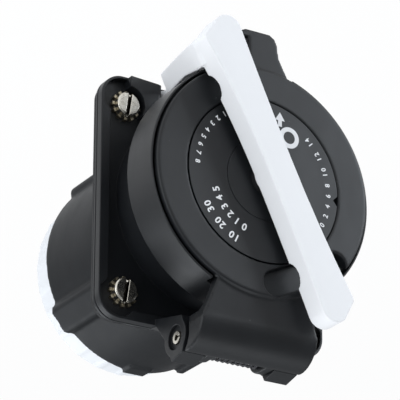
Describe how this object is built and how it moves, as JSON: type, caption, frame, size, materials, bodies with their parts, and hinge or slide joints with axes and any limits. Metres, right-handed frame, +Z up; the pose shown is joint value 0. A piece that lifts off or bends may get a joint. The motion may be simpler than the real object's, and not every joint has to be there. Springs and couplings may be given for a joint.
{
  "type": "industrial panel socket",
  "caption": "Square-flanged panel socket with a hinged lid, a rotary closing handle with a padlock slot and a round rear housing.",
  "frame": {"origin": "centre of the panel screw pattern, in the plane of the panel gasket's back face", "axes": "-Y out of the panel to the front, +Z up towards the hinge, +X to the right seen from the front"},
  "size_m": [0.087, 0.108, 0.1153],
  "materials": {
    "shell": "fine moulded texture",
    "rear_shell": "fine moulded texture",
    "disc": "fine moulded texture",
    "handle": "satin",
    "rubber": "matt",
    "screw_steel": "zinc plated",
    "washer_steel": "yellow passivated zinc",
    "spring_steel": "blackened",
    "contact_brass": "turned",
    "carrier": "satin",
    "terminal": "satin",
    "friction": "pressed fibre"
  },
  "bodies": {
    "socket": {"flange": "shell", "body_seal": "rubber", "rear_housing": "rear_shell", "panel_gasket": "rubber", "panel_screws": "screw_steel", "lock_washers": "washer_steel", "hinge_pin": "screw_steel", "hinge_spring": "spring_steel", "collar_gasket": "rubber", "contact_carrier": "carrier", "carrier_base": "carrier", "carrier_screws": "screw_steel", "line_contact": "contact_brass", "neutral_contact": "contact_brass", "earth_contact": "contact_brass", "terminal_body": "terminal", "terminal_clamps": "screw_steel", "terminal_screws": "screw_steel"},
    "lid": {"lid": "shell", "pivot_bush": "contact_brass"},
    "handle": {"handle": "handle", "index_disc": "disc", "hub_ring": "disc", "friction_ring": "friction", "pivot_washer": "screw_steel", "pivot_screw": "screw_steel"}
  },
  "joints": [
    {"name": "lid_hinge", "type": "hinge", "parent": "socket", "child": "lid", "pos_m": [0, -0.0196, 0.0515], "axis": [-1, 0, 0], "range_deg": [0, 110], "stiffness_Nm_per_rad": 0.05, "springref_deg": -28.65},
    {"name": "handle_turn", "type": "hinge", "parent": "lid", "child": "handle", "pos_m": [0, -0.0394, -0.0014], "axis": [0, 1, 0], "range_deg": [-1.7, 9.6]}
  ]
}
